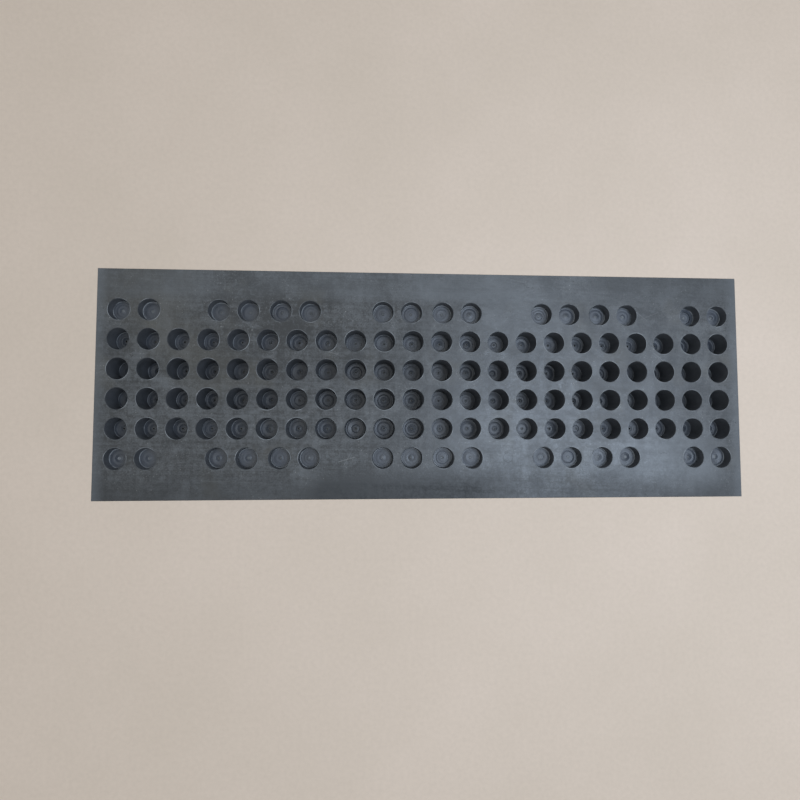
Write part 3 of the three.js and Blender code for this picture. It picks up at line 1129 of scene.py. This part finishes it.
def make_floor(name, height, dark, light):
    """One face of the wide pale floor, which is open under the bump."""
    look = Look(name)
    cloud = look.noise(3.0, 5.0, 0.6)
    grain = look.noise(160.0, 4.0, 0.6)
    darker = tuple(0.75 * part for part in dark)
    colour = look.mix(look.spread(cloud), dark, light)
    colour = look.mix(look.fit(grain, 0.35, 0.7, 0, 0.2), colour, darker)
    material = look.finish(colour, 0.85, look.bump(grain, 0.0004, 0.25))
    bm = bmesh.new()
    inner_x, inner_y = BODY_HIGH.x - TUCK, BODY_HIGH.y - TUCK
    xs = (-FLOOR_REACH, -inner_x, inner_x, FLOOR_REACH)
    ys = (-FLOOR_REACH, -inner_y, inner_y, FLOOR_REACH)
    grid = [[bm.verts.new((x, y, height)) for y in ys] for x in xs]
    for i in range(3):
        for j in range(3):
            if (i, j) != (1, 1):
                bm.faces.new((grid[i][j], grid[i + 1][j], grid[i + 1][j + 1], grid[i][j + 1]))
    finish_mesh(bm, name, [material])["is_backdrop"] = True


def add_lamp(name, light, place):
    """A lamp that shines from its place to the origin."""
    lamp = bpy.data.objects.new(name, light)
    lamp.location = place
    lamp.rotation_euler = (-Vector(place)).to_track_quat("-Z", "Y").to_euler()
    bpy.context.scene.collection.objects.link(lamp)


def soft_light(name, place, side, watts, colour):
    """A square panel of light."""
    light = bpy.data.lights.new(name, "AREA")
    light.shape = "SQUARE"
    light.size = side
    light.energy = watts
    light.color = colour
    add_lamp(name, light, place)


def soft_sun(name, place, strength, spread):
    """Even light from the direction of a place, over a disc of the sky spread degrees wide."""
    light = bpy.data.lights.new(name, "SUN")
    light.energy = strength
    light.angle = math.radians(spread)
    add_lamp(name, light, place)


HORIZON_LAP = -0.05  # the light above the horizon reaches down to here, past the floor's far edge

# Height on the sky's ball at the start and end of a fade, and the light's strength there
SKY_ABOVE = (0.1, 0.6, 0.9, 0.3)
SKY_BELOW = (-0.95, -0.4, 1.19, 0.32)


def make_world():
    """Pale light that is strongest straight below and at the horizon seen from above the floor."""
    world = bpy.data.worlds.new("studio")
    world.use_nodes = True
    nodes, links = world.node_tree.nodes, world.node_tree.links
    background = nodes["Background"]
    background.inputs["Color"].default_value = (0.92, 0.955, 0.975, 1)
    split = nodes.new("ShaderNodeSeparateXYZ")
    links.new(nodes.new("ShaderNodeTexCoord").outputs["Generated"], split.inputs[0])
    fades = []
    for numbers in (SKY_BELOW, SKY_ABOVE):
        fade = nodes.new("ShaderNodeMapRange")
        for socket, number in zip(fade.inputs[1:5], numbers):
            socket.default_value = number
        links.new(split.outputs["Z"], fade.inputs["Value"])
        fades.append(fade.outputs[0])
    above = nodes.new("ShaderNodeMath")
    above.operation = "GREATER_THAN"
    above.inputs[1].default_value = HORIZON_LAP
    links.new(split.outputs["Z"], above.inputs[0])
    strength = nodes.new("ShaderNodeMix")
    links.new(above.outputs[0], strength.inputs[0])
    for fade, socket in zip(fades, strength.inputs[2:4]):
        links.new(fade, socket)
    links.new(strength.outputs[0], background.inputs["Strength"])
    bpy.context.scene.world = world
    bpy.context.scene.view_settings.view_transform = "Standard"


CAMERA_PLACE = Vector((-0.092, 0.068, -0.835))
CAMERA_AIM = Vector((-0.0426, 0.0235, 0.0))
CAMERA_LENS = 24.48


def make_camera():
    """The main view: nearly square on to the road face, from below it and left of its middle."""
    data = bpy.data.cameras.new("camera")
    data.sensor_width = 36
    data.lens = CAMERA_LENS
    data.clip_start = 0.01
    camera = bpy.data.objects.new("camera", data)
    forward = (CAMERA_AIM - CAMERA_PLACE).normalized()
    right = forward.cross(Vector((0, -1, 0))).normalized()
    up = right.cross(forward)
    turn = Matrix((right, up, -forward)).transposed().to_4x4()
    camera.matrix_world = Matrix.Translation(CAMERA_PLACE) @ turn
    bpy.context.scene.collection.objects.link(camera)
    bpy.context.scene.camera = camera


make_floor("floor_top", FLOOR_TOP, (0.79, 0.735, 0.66), (0.84, 0.785, 0.715))
make_floor("floor_under", FLOOR_UNDER, (0.56, 0.46, 0.37), (0.61, 0.50, 0.41))
make_world()
make_camera()
# Under the floor, for the road face
soft_light("face_key", (0.75, 0.12, -1.6), 1.0, 18, (0.66, 0.80, 1.0))
# Above the floor, for the crown
soft_sun("crown_key", (-4.2, -2.6, 3.4), 2.2, 16)
soft_sun("crown_fill", (4.4, 3.2, 4.0), 0.4, 40)

{name: [list(corner) for corner in box] for name, box in (("cad", CAD_BOX), ("visual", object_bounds()))}
